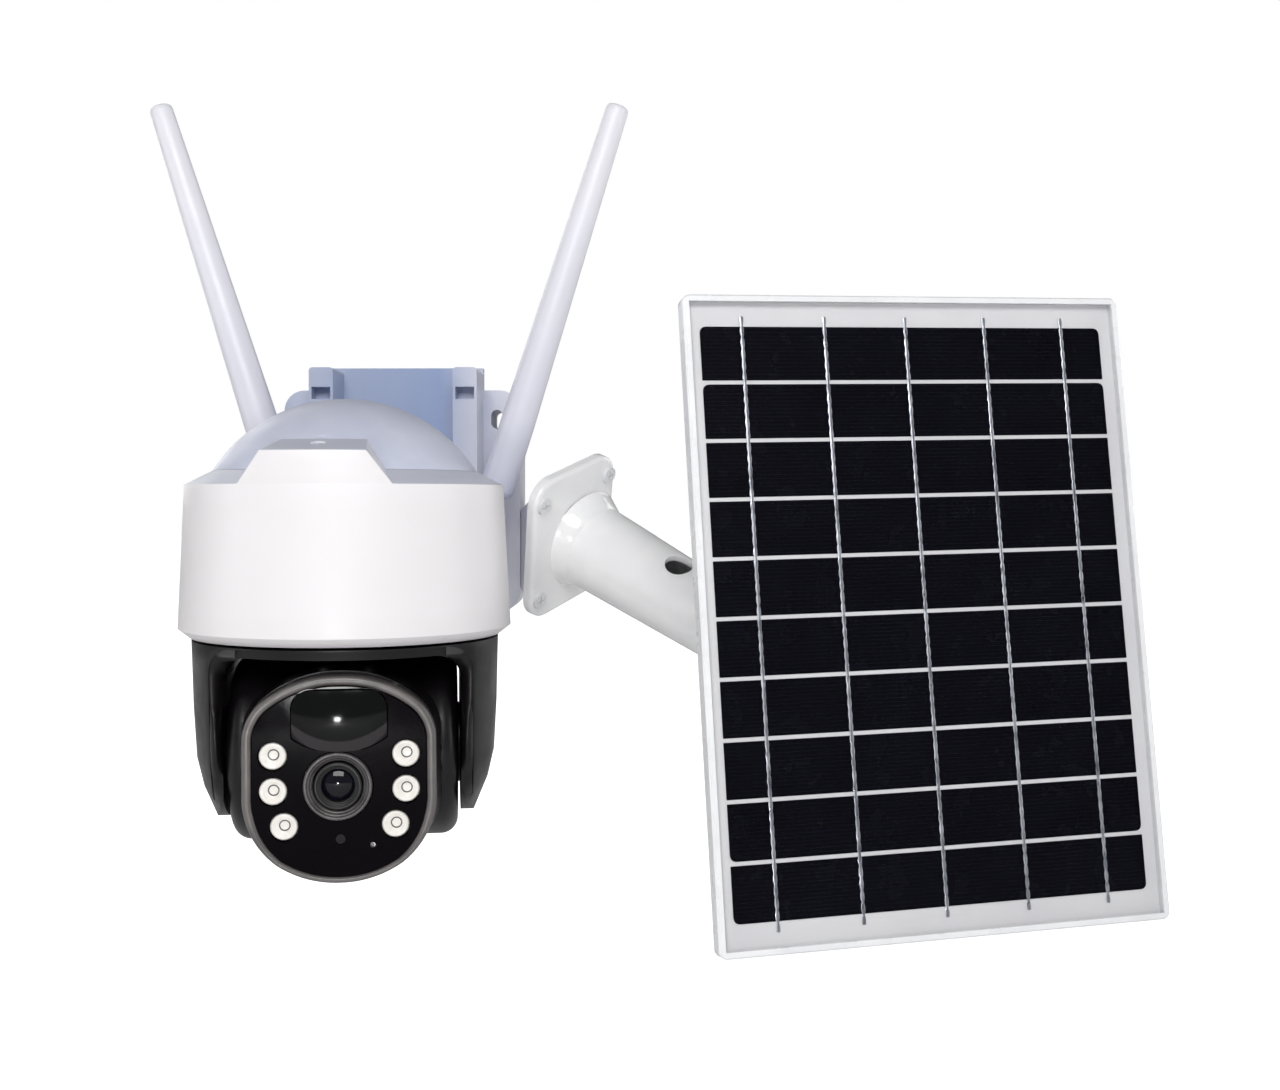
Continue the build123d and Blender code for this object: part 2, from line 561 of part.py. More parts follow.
def tilt_motor():
    """The tilt stepper, beside the gear, with its shaft along the tilt axis."""
    can = Pos(20, 0, 0) * rod(8.6, 17, "X")
    shaft = Pos(32, 0, 0) * rod(1.8, 7, "X")
    return HEAD * Pos(0, 14.4, 7.4) * (can + shaft)


def tilt_pinion():
    body = Pos(33.4, 0, 0) * Rot(0, 90, 0) * gear(3.9, 11, 3.0) - rod(1.8 + FIT, 120, "X")
    return HEAD * Pos(0, 14.4, 7.4) * body


def card_cover():
    """The cover of the memory card slot, a curved plate under the chin."""
    thick = snout(1.3, -10, -40) & block(-12, 12, -36, -16, -60, -20)
    thin = snout(0.02, -10, -40)
    return FACE * (thick - thin)


def memory_card():
    socket = Pos(0, -27, -26.6) * (Box(15, 14, 2.2) - Pos(0, -1, 0.2) * Box(11.2, 15, 0.9))
    return FACE * group([Pos(0, -28, -26.4) * Box(11, 13, 0.7), socket])


# ---- solar arm ----------------------------------------------------------------------------------
def foot_plane(lift):
    return Plane(origin=ARM_FOOT + FOOT_NORMAL * lift, x_dir=FOOT_SIDE, z_dir=FOOT_NORMAL)


def arm_plane(t):
    return Plane(origin=ARM_FOOT + ARM_DIR * t, x_dir=Vector(-0.539, -0.842, 0), z_dir=ARM_DIR)


def knuckle_frame():
    """Vertical bolt of the panel joint, with local -Y towards the panel."""
    centre = ARM_FOOT + ARM_DIR * ARM_REACH
    return Pos(*centre) * Rot(0, 0, PANEL_YAW)


FOOT_HOLES = [(FOOT_SHIFT[0] + i * HOLE_STEP[0] / 2, FOOT_SHIFT[1] + j * HOLE_STEP[1] / 2)
              for i in (-1, 1) for j in (-1, 1)]


def solar_arm():
    """A moulded foot plate with a tapered hollow tube and a flat eye at its end."""
    foot = extrude(foot_plane(-2.25) * Pos(*FOOT_SHIFT) * RectangleRounded(FOOT_W, FOOT_H, 11), 4.5)
    foot = fillet(foot.faces().sort_by(Axis(ARM_FOOT, FOOT_NORMAL))[-1].edges(), 1.8)
    tube = loft([arm_plane(0) * Circle(18.6), arm_plane(ARM_TUBE_L) * Circle(14.3)])
    flare = loft([arm_plane(1.0) * Circle(22.5), arm_plane(9) * Circle(18.4)])
    bore = loft([arm_plane(7) * Circle(15.8), arm_plane(ARM_TUBE_L - 5) * Circle(11.8)])
    trim = extrude(foot_plane(-2.25) * Rectangle(120, 120), -20)
    body = foot + (tube + flare - trim) - bore
    for u, v in FOOT_HOLES:
        body -= extrude(foot_plane(-6) * Pos(u, v) * Circle(2.1), 12)
        body -= extrude(foot_plane(2.25) * Pos(u, v) * Circle(3.9), 14)
    hole = Plane(origin=ARM_FOOT + ARM_DIR * 54, x_dir=ARM_DIR, z_dir=Vector(0.071, -0.58, 0.812))
    body -= extrude(hole * Circle(5.8), 30)
    frame = Pos(*(ARM_FOOT + ARM_DIR * ARM_REACH))
    heading = degrees(atan2(-ARM_DIR.Y, -ARM_DIR.X))
    eye = Cylinder(7.5, 9) + Rot(0, 0, heading) * Pos(9, 0, 0) * Box(18, 11, 8.6)
    body += frame * eye
    return body - frame * Cylinder(3.0 + FIT, 40)


def arm_screws():
    return group(foot_plane(2.25) * Pos(u, v) * pan_screw(3.6, 2.0, 4.4) for u, v in FOOT_HOLES)


def swivel_block():
    """The block between the arm's eye and the panel's fork: turns about the upright bolt."""
    cheek = Cylinder(7.5, 3.6) + Pos(0, -4.5, 0) * Box(15, 9, 3.6)
    body = Pos(0, 0, 6.6) * cheek + Pos(0, 0, -6.6) * cheek
    body += Pos(0, -10.4, 0) * Box(15, 4.0, 16.8)
    body += Pos(0, -KNUCKLE_STEP, 0) * rod(7.2, 14, "X")
    body -= Cylinder(3.0, 40)
    body -= rod_between(8.2, -4.8, 4.8)
    body -= Pos(0, -KNUCKLE_STEP, 0) * rod(3.0 + FIT, 40, "X")
    return knuckle_frame() * body


def swivel_bolt():
    body = rod_between(3.0, -10.5, 10.0) + rod_between(5.2, 8.4, 12.0)
    nut = Pos(0, 0, -10.2) * extrude(RegularPolygon(5.4, 6), 3.6, both=False).moved(Location((0, 0, -1.8)))
    return knuckle_frame() * (body + (nut & block(-9, 9, -9, 9, -13, -8.4)))


# ---- solar panel --------------------------------------------------------------------------------
RAIL_Z = -33.0
FORK_X = -13.5
RAIL_Y = LIP_FRONT_Y + PANEL_D
BOX_BACK_Y = RAIL_Y + 13
GLAND_Y = RAIL_Y + 6.4


def panel_frame():
    """The shallow frame: a front lip over the glass, side walls and a rear flange."""
    body = extrude(front_plane(RAIL_Y) * RectangleRounded(PANEL_W, PANEL_H, 3), PANEL_D)
    body = chamfer(body.faces().sort_by(Axis.Y)[0].edges(), 0.6)
    pocket = extrude(front_plane(SHEET_BACK_Y) * Rectangle(PANEL_W - 3.4, PANEL_H - 3.4), SHEET_BACK_Y + GLASS_T)
    sight = extrude(front_plane(SHEET_BACK_Y) * Rectangle(PANEL_W - 4.8, PANEL_H - 4.8), 10)
    rear = extrude(front_plane(RAIL_Y + 1) * Rectangle(PANEL_W - 26, PANEL_H - 26), 4)
    return PANEL * (body - pocket - sight - rear)


def panel_glass():
    w, h = PANEL_W - 3.6, PANEL_H - 3.6
    return PANEL * block(-w / 2, w / 2, -GLASS_T, 0, -h / 2, h / 2)


def cell_rows():
    pitch = CELL_H + CELL_GAP
    return [(CELL_ROWS - 1) * pitch / 2 - k * pitch for k in range(CELL_ROWS)]


def solar_cells():
    return PANEL * group(block(-CELL_W / 2, CELL_W / 2, 0.2, 0.5, z - CELL_H / 2, z + CELL_H / 2)
                         for z in cell_rows())


def busbars():
    offset_x = [(k - (BUSBARS - 1) / 2) * BUSBAR_PITCH for k in range(BUSBARS)]
    return PANEL * group(block(x - 0.7, x + 0.7, 0.0, 0.2, -108.4, 108.4) for x in offset_x)


def backsheet():
    w, h = PANEL_W - 3.6, PANEL_H - 3.6
    return PANEL * block(-w / 2, w / 2, 0.5, SHEET_BACK_Y, -h / 2, h / 2)


def panel_mount():
    """The strip across the frame's back, with the fork that holds the tilt bolt."""
    strip = block(-PANEL_W / 2 + 3, PANEL_W / 2 - 3, RAIL_Y, RAIL_Y + 3, RAIL_Z - 14, RAIL_Z + 14)
    pad = block(FORK_X - 21, FORK_X + 21, RAIL_Y + 2, RAIL_Y + 6, RAIL_Z - 14, RAIL_Z + 14)
    for x in (-76, 76):
        for dz in (-8, 8):
            strip -= Pos(x, RAIL_Y, RAIL_Z + dz) * rod(1.35, 12, "Y")
    frame = knuckle_frame()
    cheeks = []
    for side in (-1, 1):
        cheek = Pos(side * 9.8, -KNUCKLE_STEP, 0) * rod(7.2, 4.0, "X")
        cheek += Pos(side * 9.8, -KNUCKLE_STEP - 14, 0) * Box(4.0, 28, 14.4)
        cheeks.append(frame * cheek)
    behind_strip = PANEL * block(-60, 60, RAIL_Y + 3, 80, -90, 60)
    body = ((cheeks[0] + cheeks[1]) & behind_strip) + PANEL * (strip + pad)
    return body - frame * Pos(0, -KNUCKLE_STEP, 0) * rod(3.0, 26, "X")


def mount_screws():
    back = Plane(origin=(0, RAIL_Y + 3, 0), x_dir=(-1, 0, 0), z_dir=(0, 1, 0))
    return PANEL * group(back * Pos(x, RAIL_Z + dz) * pan_screw(2.6, 1.3, 3.0)
                         for x in (-76, 76) for dz in (-8, 8))


def tilt_bolt():
    body = Pos(3.0, 0, 0) * rod(3.0, 29.6, "X") + Pos(-13.5, 0, 0) * rod(5.0, 3.4, "X")
    return knuckle_frame() * Pos(0, -KNUCKLE_STEP, 0) * body


def clamp_knob():
    """The knob that clamps the tilt bolt, with finger flutes."""
    body = Pos(17.8, 0, 0) * rod(8.0, 9.0, "X") + Pos(12.8, 0, 0) * rod(5.0, 1.4, "X")
    for k in range(8):
        a = radians(360 * k / 8)
        body -= Pos(17.8, 8.8 * cos(a), 8.8 * sin(a)) * rod(2.0, 10, "X")
    body -= Pos(15, 0, 0) * rod(3.0 + FIT, 7, "X")
    return knuckle_frame() * Pos(0, -KNUCKLE_STEP, 0) * body


def junction_box():
    body = block(-30, 30, SHEET_BACK_Y, BOX_BACK_Y, 30, 74)
    body = fillet(body.edges().filter_by(Axis.Y), 4)
    body -= block(-27.5, 27.5, SHEET_BACK_Y + 2.5, BOX_BACK_Y - 2, 32.5, 71.5)
    for x in (-25, 25):
        for z in (35, 69):
            body -= Pos(x, BOX_BACK_Y, z) * rod(1.6, 1.6, "Y")
    return PANEL * (body - Pos(0, GLAND_Y, 30) * Cylinder(4.0, 8))


def cable_gland():
    body = Pos(0, GLAND_Y, 25.5) * Cylinder(5.5, 9) + Pos(0, GLAND_Y, 31) * Cylinder(4.0, 4)
    return PANEL * (body - Pos(0, GLAND_Y, 26) * Cylinder(2.4, 20))


PARTS = {
    "wall_bracket": wall_bracket,
    "side_adaptor": side_adaptor,
    "visor": visor,
    "dome_shell": dome_shell,
    "rear_housing": rear_housing,
    "base_plate": base_plate,
    "housing_screws": housing_screws,
    "pan_bearing": pan_bearing,
    "pan_motor": pan_motor,
    "main_board": main_board,
    "battery_cells": battery_cells,
    "battery_holder": battery_holder,
    "charge_inlet": charge_inlet,
    "inlet_plug": inlet_plug,
    "power_button": lambda: button(2),
    "reset_button": lambda: button(15),
    "antenna_base_left": lambda: antenna_base(-1),
    "antenna_base_right": lambda: antenna_base(1),
    "antenna_left": lambda: antenna(-1),
    "antenna_right": lambda: antenna(1),
    "pan_pinion": pan_pinion,
    "yoke_shell": yoke_shell,
    "pan_hub": pan_hub,
    "hub_screws": hub_screws,
    "tilt_gear": tilt_gear,
    "head_shell": head_shell,
    "head_screws": head_screws,
    "face_bezel": face_bezel,
    "front_window": front_window,
    "pir_lens": pir_lens,
    "pir_sensor": pir_sensor,
    "lens_ring": lens_ring,
    "lens_barrel": lens_barrel,
    "lens_glass": lens_glass,
    "sensor_board": sensor_board,
    "led_board": led_board,
    "led_cups": led_cups,
    "light_sensor": light_sensor,
    "microphone": microphone,
    "speaker": speaker,
    "tilt_axle": tilt_axle,
    "tilt_motor": tilt_motor,
    "tilt_pinion": tilt_pinion,
    "card_cover": card_cover,
    "memory_card": memory_card,
    "solar_arm": solar_arm,
    "arm_screws": arm_screws,
    "swivel_block": swivel_block,
    "swivel_bolt": swivel_bolt,
    "panel_frame": panel_frame,
    "panel_glass": panel_glass,
    "solar_cells": solar_cells,
    "busbars": busbars,
    "backsheet": backsheet,
    "panel_mount": panel_mount,
    "mount_screws": mount_screws,
    "tilt_bolt": tilt_bolt,
    "clamp_knob": clamp_knob,
    "junction_box": junction_box,
    "cable_gland": cable_gland,
}

os.makedirs("parts", exist_ok=True)
for name, build in PARTS.items():
    export_step(build(), f"parts/{name}.step")
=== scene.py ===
import json
from math import atan2, cos, hypot, pi, radians, sin, sqrt

import bmesh
import bpy
from mathutils import Matrix, Vector


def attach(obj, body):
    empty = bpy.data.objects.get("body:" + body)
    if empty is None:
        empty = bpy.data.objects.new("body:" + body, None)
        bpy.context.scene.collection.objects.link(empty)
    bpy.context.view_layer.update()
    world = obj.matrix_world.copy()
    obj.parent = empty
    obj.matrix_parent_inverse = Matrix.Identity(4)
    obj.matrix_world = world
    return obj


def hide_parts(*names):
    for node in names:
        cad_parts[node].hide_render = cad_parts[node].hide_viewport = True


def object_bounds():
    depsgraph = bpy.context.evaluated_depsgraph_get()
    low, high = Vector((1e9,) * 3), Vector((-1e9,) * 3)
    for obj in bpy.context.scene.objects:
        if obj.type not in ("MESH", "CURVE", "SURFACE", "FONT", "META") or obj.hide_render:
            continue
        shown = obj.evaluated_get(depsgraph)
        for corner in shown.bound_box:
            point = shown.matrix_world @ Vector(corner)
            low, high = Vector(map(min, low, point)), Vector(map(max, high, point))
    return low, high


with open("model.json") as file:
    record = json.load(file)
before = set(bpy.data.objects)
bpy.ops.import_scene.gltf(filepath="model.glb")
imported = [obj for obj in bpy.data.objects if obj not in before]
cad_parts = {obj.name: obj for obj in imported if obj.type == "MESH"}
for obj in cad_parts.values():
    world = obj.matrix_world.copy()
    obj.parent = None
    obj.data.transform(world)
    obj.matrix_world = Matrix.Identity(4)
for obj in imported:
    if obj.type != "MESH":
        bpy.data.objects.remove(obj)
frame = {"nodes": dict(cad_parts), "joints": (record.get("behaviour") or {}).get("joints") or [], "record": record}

# Visual model of a solar powered pan and tilt security camera on its wall bracket. Metres, in the
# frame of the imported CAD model: +X right, +Y into the wall, +Z up, origin on the wall.

cad_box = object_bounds()
NODES = frame["nodes"]
SLOT_OF = {part["node"]: part["material_slot"] for part in frame["record"]["subparts"]}
MM = 0.001

# ---- reference places, read from the frame ------------------------------------------------------
JOINTS = {joint["name"]: joint for joint in frame["joints"]}
PAN_AXIS = Vector(JOINTS["pan"]["pos_m"])
TILT_AXIS = Vector(JOINTS["tilt"]["pos_m"])
PAN_REST = atan2(JOINTS["tilt"]["axis"][1], JOINTS["tilt"]["axis"][0])

BODY_AT = Matrix.Translation((PAN_AXIS.x, PAN_AXIS.y, 0))
TURRET_AT = BODY_AT @ Matrix.Rotation(PAN_REST, 4, "Z")
HEAD_AT = Matrix.Translation(TILT_AXIS) @ Matrix.Rotation(PAN_REST, 4, "Z")
FACE_DROP = 3.0 * MM        # the face's centre sits this far below the tilt axis
FACE_AT = HEAD_AT @ Matrix.Translation((0, 0, -FACE_DROP))

PANEL_CENTRE = (0.20934, -0.14343, -0.03935)
PANEL_TURNS = ((13.22, "Z"), (-8.29, "X"), (-1.22, "Y"))    # yaw, tilt and roll, degrees


def panel_place():
    """The panel's own frame: X along the cell rows, -Y out of the glass, Z up the ribbons."""
    yaw, tilt, roll = (Matrix.Rotation(radians(angle), 4, axis) for angle, axis in PANEL_TURNS)
    return Matrix.Translation(PANEL_CENTRE) @ yaw @ tilt @ roll


PANEL_AT = panel_place()

# The crease across the motion lens is a shallow bow, in millimetres from the lens's centre.
CREASE_Z, CREASE_BOW = -6.3, 0.0235


# ---- materials ----------------------------------------------------------------------------------
def linear(value):
    return value / 12.92 if value <= 0.04045 else ((value + 0.055) / 1.055) ** 2.4


def tone(red, green, blue):
    """A display colour, 0 to 255, as the linear colour that shaders use."""
    return tuple(linear(c / 255) for c in (red, green, blue)) + (1.0,)


class Nodes:
    """Short calls for one material's node tree."""

    def __init__(self, name):
        self.material = bpy.data.materials.new(name)
        self.material.use_nodes = True
        self.tree = self.material.node_tree
        self.shader = self.tree.nodes["Principled BSDF"]
        coords = self.tree.nodes.new("ShaderNodeTexCoord")
        self.place = coords.outputs["Object"]
        self.normal = coords.outputs["Normal"]

    def add(self, kind, **settings):
        node = self.tree.nodes.new("ShaderNode" + kind)
        for key, value in settings.items():
            setattr(node, key, value)
        return node

    def link(self, source, target):
        self.tree.links.new(source, target)

    def stretched(self, scale):
        """Object coordinates multiplied by a scale on each axis."""
        mapping = self.add("Mapping")
        mapping.inputs["Scale"].default_value = scale
        self.link(self.place, mapping.inputs["Vector"])
        return mapping.outputs["Vector"]

    def noise(self, size_mm, detail=3.0, vector=None, rough=0.55):
        node = self.add("TexNoise")
        node.inputs["Scale"].default_value = 1000.0 / size_mm
        node.inputs["Detail"].default_value = detail
        node.inputs["Roughness"].default_value = rough
        self.link(vector or self.place, node.inputs["Vector"])
        return node.outputs["Fac"]

    def remap(self, source, low, high, to_low, to_high):
        node = self.add("MapRange")
        node.inputs["From Min"].default_value = low
        node.inputs["From Max"].default_value = high
        node.inputs["To Min"].default_value = to_low
        node.inputs["To Max"].default_value = to_high
        self.link(source, node.inputs["Value"])
        return node.outputs["Result"]

    def ramp(self, source, stops):
        node = self.add("ValToRGB")
        points = node.color_ramp.elements
        while len(points) < len(stops):
            points.new(0.5)
        for point, (at, colour) in zip(points, stops):
            point.position = at
            point.color = colour
        self.link(source, node.inputs["Fac"])
        return node.outputs["Color"]

    def math(self, operation, first, second):
        node = self.add("Math", operation=operation)
        for socket, value in zip(node.inputs, (first, second)):
            if isinstance(value, float):
                socket.default_value = value
            else:
                self.link(value, socket)
        return node.outputs["Value"]

    def bump(self, height, strength, distance_mm):
        node = self.add("Bump")
        node.inputs["Strength"].default_value = strength
        node.inputs["Distance"].default_value = distance_mm * MM
        self.link(height, node.inputs["Height"])
        self.link(node.outputs["Normal"], self.shader.inputs["Normal"])

    def set(self, **values):
        for key, value in values.items():
            self.shader.inputs[key.replace("_", " ")].default_value = value


def moulded(name, low, high, rough=(0.3, 0.42), grain_mm=0.6, bump=0.12, mottle_mm=22.0, **sockets):
    """Moulded plastic or paint: two near tones in broad soft mottles, fine grain, uneven gloss."""
    n = Nodes(name)
    mottle = n.noise(mottle_mm, 4.0)
    n.link(n.ramp(mottle, [(0.32, tone(*low)), (0.68, tone(*high))]), n.shader.inputs["Base Color"])
    wear = n.noise(mottle_mm * 0.45, 6.0)
    n.link(n.remap(wear, 0.35, 0.65, rough[0], rough[1]), n.shader.inputs["Roughness"])
    n.bump(n.noise(grain_mm, 2.0), bump, grain_mm * 0.12)
    n.set(**sockets)
    return n.material


def metal(name, low, high, rough=(0.22, 0.38), brush=(1.0, 1.0, 1.0), bump=0.1, **sockets):
    """Metal with fine drawn lines along one axis and a slightly uneven tone."""
    n = Nodes(name)
    lines = n.noise(1.2, 4.0, n.stretched(brush))
    n.link(n.ramp(n.noise(9.0, 4.0), [(0.3, tone(*low)), (0.7, tone(*high))]),
           n.shader.inputs["Base Color"])
    n.link(n.remap(lines, 0.3, 0.7, rough[0], rough[1]), n.shader.inputs["Roughness"])
    n.bump(lines, bump, 0.05)
    n.set(Metallic=1.0, **sockets)
    return n.material


def ledge_white():
    """Glossy white with painted shade: the tone follows which way each face looks, and the level upper ledges are
    painted grey.
    """
    n = Nodes("white_gloss")
    axes = n.add("SeparateXYZ")
    n.link(n.normal, axes.inputs["Vector"])
    mottle = n.remap(n.noise(22.0, 4.0), 0.3, 0.7, -0.04, 0.04)
    level = n.math("ADD", axes.outputs["Z"], mottle)
    # painted shade: faces that look up are painted grey, upright faces a little darker than those tilted slightly
    # up
    tones = [(0.0, tone(234, 231, 233)), (0.45, tone(241, 239, 241)), (0.72, tone(196, 199, 212))]
    n.link(n.ramp(level, tones), n.shader.inputs["Base Color"])
    n.link(n.remap(n.noise(10.0, 6.0), 0.35, 0.65, 0.36, 0.46), n.shader.inputs["Roughness"])
    n.bump(n.noise(0.9, 2.0), 0.05, 0.1)
    return n.material


def faceted_lens():
    """Near-black lens plastic. The band under its crease is painted paler as a painted reflection, and carries
    fine moulded facets.
    """
    n = Nodes("sensor_black")
    axes = n.add("SeparateXYZ")
    n.link(n.place, axes.inputs["Vector"])
    bow = n.math("MULTIPLY", n.math("MULTIPLY", axes.outputs["X"], axes.outputs["X"]), CREASE_BOW / MM)
    under = n.math("SUBTRACT", n.math("ADD", bow, CREASE_Z * MM), axes.outputs["Z"])
    wander = n.math("MULTIPLY", n.noise(5.0, 3.0), 0.6 * MM)
    band = n.remap(n.math("ADD", under, wander), 0.0, 0.7 * MM, 0.0, 1.0)
    # painted reflection: the band under the crease is paler than the rest of the lens
    n.link(n.ramp(band, [(0.0, tone(11, 12, 12)), (1.0, tone(54, 51, 53))]), n.shader.inputs["Base Color"])
    n.link(n.remap(n.noise(6.0, 3.0), 0.3, 0.7, 0.07, 0.12), n.shader.inputs["Roughness"])
    facets = n.add("TexWave", wave_type="BANDS", bands_direction="X")
    facets.inputs["Scale"].default_value = 260.0
    n.link(n.place, facets.inputs["Vector"])
    n.bump(n.math("MULTIPLY", facets.outputs["Fac"], band), 0.12, 0.05)
    n.set(Specular_IOR_Level=0.22)
    return n.material


def antenna_white():
    """Satin white, painted blue-grey towards the foot of each antenna as painted shade."""
    n = Nodes("antenna_white")
    axes = n.add("SeparateXYZ")
    n.link(n.place, axes.inputs["Vector"])
    foot, waist = -20 * MM, 120 * MM
    height = n.remap(axes.outputs["Z"], foot, waist, 0.0, 0.8)
    shade = n.math("ADD", height, n.math("MULTIPLY", n.noise(40.0, 4.0), 0.25))
    # painted shade: blue-grey at the foot, white towards the tip
    tones = [(0.10, tone(184, 190, 216)), (0.45, tone(226, 226, 238)), (1.0, tone(240, 239, 246))]
    n.link(n.ramp(shade, tones), n.shader.inputs["Base Color"])
    n.link(n.remap(n.noise(18.0, 6.0), 0.35, 0.65, 0.30, 0.42), n.shader.inputs["Roughness"])
    n.bump(n.noise(0.5, 2.0), 0.1, 0.06)
    return n.material


def bracket_grey():
    """Moulding painted blue-grey as painted shade, darkest in the middle and painted paler towards its two sides
    where more light falls.
    """
    n = Nodes("bracket_grey")
    axes = n.add("SeparateXYZ")
    n.link(n.place, axes.inputs["Vector"])
    side = 50 * MM
    across = n.remap(axes.outputs["X"], -side, side, 0.0, 1.0)
    drift = n.math("MULTIPLY", n.math("SUBTRACT", n.noise(34.0, 4.0), 0.5), 0.14)
    # painted shade across the front: blue-grey in the middle, paler towards both sides
    tones = [(0.05, tone(196, 203, 222)), (0.32, tone(172, 186, 216)), (0.66, tone(158, 176, 214)),
             (0.80, tone(196, 201, 220)), (0.97, tone(224, 225, 233))]
    n.link(n.ramp(n.math("ADD", across, drift), tones), n.shader.inputs["Base Color"])
    n.link(n.remap(n.noise(15.0, 6.0), 0.35, 0.65, 0.30, 0.44), n.shader.inputs["Roughness"])
    n.bump(n.noise(0.5, 2.0), 0.12, 0.06)
    return n.material


def silicon():
    """Blue-black cells with fine pale finger lines across them."""
    n = Nodes("silicon")
    axes = n.add("SeparateXYZ")
    n.link(n.place, axes.inputs["Vector"])
    finger_pitch = 1.4 * MM
    wave = n.math("SINE", n.math("MULTIPLY", axes.outputs["Z"], 2 * pi / finger_pitch), 0.0)
    finger = n.remap(wave, 0.90, 1.0, 0.0, 0.5)
    tint = n.math("MULTIPLY", n.noise(30.0, 4.0), 0.4)
    tones = [(0.10, tone(5, 5, 10)), (0.35, tone(9, 9, 19)), (0.9, tone(38, 38, 50))]
    n.link(n.ramp(n.math("ADD", finger, tint), tones), n.shader.inputs["Base Color"])
    n.link(n.remap(n.noise(14.0, 4.0), 0.3, 0.7, 0.2, 0.3), n.shader.inputs["Roughness"])
    n.bump(finger, 0.02, 0.02)
    n.set(Specular_IOR_Level=0.08)
    return n.material


def make_materials():
    """One material for each material slot of the record."""
    return {
        "white_gloss": ledge_white(),
        # dome_grey is painted shade: the dome is white plastic like the visor, painted the grey-blue it shows in
        # shade
        "dome_grey": moulded("dome_grey", (194, 199, 218), (207, 211, 227), (0.34, 0.46), 0.5, 0.12),
        "bracket_grey": bracket_grey(),
        "arm_white": moulded("arm_white", (246, 246, 248), (253, 253, 253), (0.10, 0.20), 1.6, 0.10,
                             Coat_Weight=0.5, Coat_Roughness=0.06),
        "black_shell": moulded("black_shell", (7, 4, 7), (13, 10, 13), (0.30, 0.42), 0.45, 0.25,
                                Specular_IOR_Level=0.38),
        "rim_grey": moulded("rim_grey", (84, 80, 80), (102, 97, 96), (0.28, 0.40), 0.35, 0.35, 9.0,
                            Specular_IOR_Level=0.7),
        "window_black": moulded("window_black", (4, 2, 5), (8, 4, 8), (0.04, 0.08), 2.0, 0.02,
                                Specular_IOR_Level=0.06),
        "sensor_black": faceted_lens(),
        "lens_metal": moulded("lens_metal", (58, 55, 57), (84, 80, 80), (0.26, 0.38), 0.4, 0.2, 6.0,
                              Specular_IOR_Level=0.5),
        "optic": moulded("optic", (6, 4, 9), (16, 14, 26), (0.02, 0.05), 3.0, 0.0, 8.0,
                         Specular_IOR_Level=0.35),
        "lamp_white": moulded("lamp_white", (232, 227, 220), (246, 243, 238), (0.22, 0.34), 0.5, 0.1, 4.0),
        "board_green": moulded("board_green", (22, 74, 44), (34, 98, 60), (0.3, 0.45), 0.8, 0.2, 6.0),
        "steel": metal("steel", (206, 206, 208), (232, 232, 233), (0.28, 0.42), brush=(8.0, 1.0, 1.0)),
        "motor_steel": metal("motor_steel", (150, 150, 154), (186, 186, 190), brush=(1.0, 1.0, 8.0)),
        "gear_white": moulded("gear_white", (216, 216, 204), (232, 232, 222), (0.35, 0.5), 0.5, 0.1),
        "rubber_black": moulded("rubber_black", (30, 30, 31), (44, 44, 45), (0.6, 0.78), 0.35, 0.4, 5.0),
        "cell_wrap": moulded("cell_wrap", (36, 88, 156), (52, 108, 180), (0.2, 0.32), 1.2, 0.1),
        "holder_black": moulded("holder_black", (26, 26, 27), (36, 36, 37), (0.4, 0.55), 0.5, 0.25),
        "antenna_white": antenna_white(),
        "frame_white": moulded("frame_white", (234, 235, 238), (245, 246, 248), (0.24, 0.36), 0.7, 0.08),
        "clear_cover": moulded("clear_cover", (20, 22, 26), (26, 28, 32), (0.05, 0.12), 6.0, 0.03,
                               Alpha=0.05, Specular_IOR_Level=0.08),
        "silicon": silicon(),
        "ribbon": metal("ribbon", (104, 106, 114), (214, 217, 226), (0.22, 0.5), (1.0, 1.0, 0.3), 0.6),
        "sheet_white": moulded("sheet_white", (232, 231, 235), (240, 240, 243), (0.4, 0.55), 0.6, 0.1, 60.0),
        "joint_metal": moulded("joint_metal", (222, 223, 226), (236, 237, 239), (0.26, 0.4), 0.9, 0.15),
        "box_black": moulded("box_black", (24, 24, 26), (34, 34, 36), (0.42, 0.58), 0.5, 0.35),
    }


MATERIALS = make_materials()

# ---- CAD nodes ----------------------------------------------------------------------------------
# Width of the rounding along the sharp edges of the larger mouldings.
EDGE_MM = {"wall_bracket": 0.7, "side_adaptor": 0.5, "rear_housing": 0.5, "solar_arm": 0.4,
           "panel_frame": 0.35, "swivel_block": 0.4, "panel_mount": 0.4, "junction_box": 0.4,
           "head_shell": 0.5, "dome_shell": 0.4, "yoke_shell": 0.6, "card_cover": 0.3,
           "antenna_base_left": 0.4, "antenna_base_right": 0.4}
TIP_MM, TIP_ANGLE = 0.4, 14     # rounding of the antennas' tips, whose facets meet at small angles


def soften(thing, width_mm, from_angle=38):
    """Rounds the edges where faces turn by more than an angle, in degrees."""
    weld = thing.modifiers.new("weld", "WELD")
    weld.merge_threshold = 0.01 * MM
    bevel = thing.modifiers.new("edges", "BEVEL")
    bevel.width = width_mm * MM
    bevel.segments = 2
    bevel.limit_method = "ANGLE"
    bevel.angle_limit = radians(from_angle)
    bevel.miter_outer = "MITER_ARC"


def dress_cad_nodes():
    """Gives every CAD node its slot's material, and rounds the sharp edges of the larger mouldings."""
    for name, node in NODES.items():
        node.data.materials.clear()
        node.data.materials.append(MATERIALS[SLOT_OF[name]])
        for polygon in node.data.polygons:
            polygon.material_index = 0
        if name in EDGE_MM:
            soften(node, EDGE_MM[name])
        elif name in ("antenna_left", "antenna_right"):
            soften(node, TIP_MM, TIP_ANGLE)


